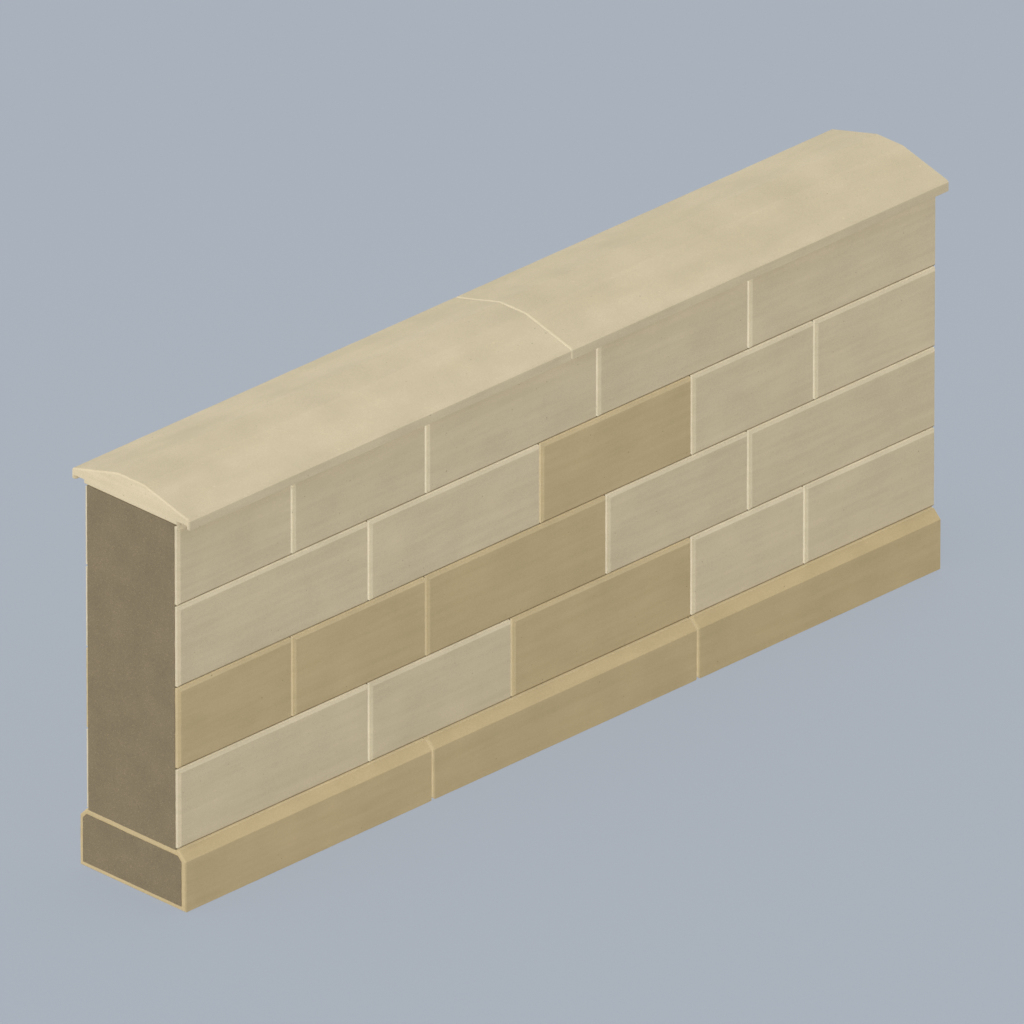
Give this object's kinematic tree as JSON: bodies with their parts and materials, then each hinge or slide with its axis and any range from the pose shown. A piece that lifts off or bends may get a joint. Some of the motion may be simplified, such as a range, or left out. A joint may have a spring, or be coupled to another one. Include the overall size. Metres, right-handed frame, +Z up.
{
  "type": "ashlar wall",
  "caption": "Straight length of free-standing coursed ashlar boundary wall with V-jointed stones, a wider weathered plinth and a ridged overhanging coping.",
  "frame": {"origin": "middle of the underside of the plinth, on the ground line", "axes": "+X along the wall, +Y through its thickness, +Z up"},
  "size_m": [4, 0.62, 1.703],
  "materials": {
    "pale_stone": "fine sawn and rubbed pale buff limestone",
    "deep_stone": "the same stone in a deeper honey tint",
    "mortar": "recessed brown lime mortar, sandy and matt"
  },
  "bodies": {
    "root": {"plinth_stone_1": "deep_stone", "plinth_stone_2": "deep_stone", "plinth_stone_3": "deep_stone", "course_1_stone_1": "pale_stone", "course_1_stone_2": "pale_stone", "course_1_stone_3": "deep_stone", "course_1_stone_4": "pale_stone", "course_1_stone_5": "pale_stone", "course_2_stone_1": "deep_stone", "course_2_stone_2": "deep_stone", "course_2_stone_3": "deep_stone", "course_2_stone_4": "pale_stone", "course_2_stone_5": "pale_stone", "course_3_stone_1": "pale_stone", "course_3_stone_2": "pale_stone", "course_3_stone_3": "deep_stone", "course_3_stone_4": "pale_stone", "course_3_stone_5": "pale_stone", "course_4_stone_1": "pale_stone", "course_4_stone_2": "pale_stone", "course_4_stone_3": "pale_stone", "course_4_stone_4": "pale_stone", "course_4_stone_5": "pale_stone", "coping_stone_1": "pale_stone", "coping_stone_2": "pale_stone", "plinth_mortar": "mortar", "course_1_mortar": "mortar", "course_2_mortar": "mortar", "course_3_mortar": "mortar", "course_4_mortar": "mortar", "coping_bed_mortar": "mortar", "left_wall_end_mortar": "mortar", "right_wall_end_mortar": "mortar", "left_plinth_end_mortar": "mortar", "right_plinth_end_mortar": "mortar"}
  },
  "joints": []
}
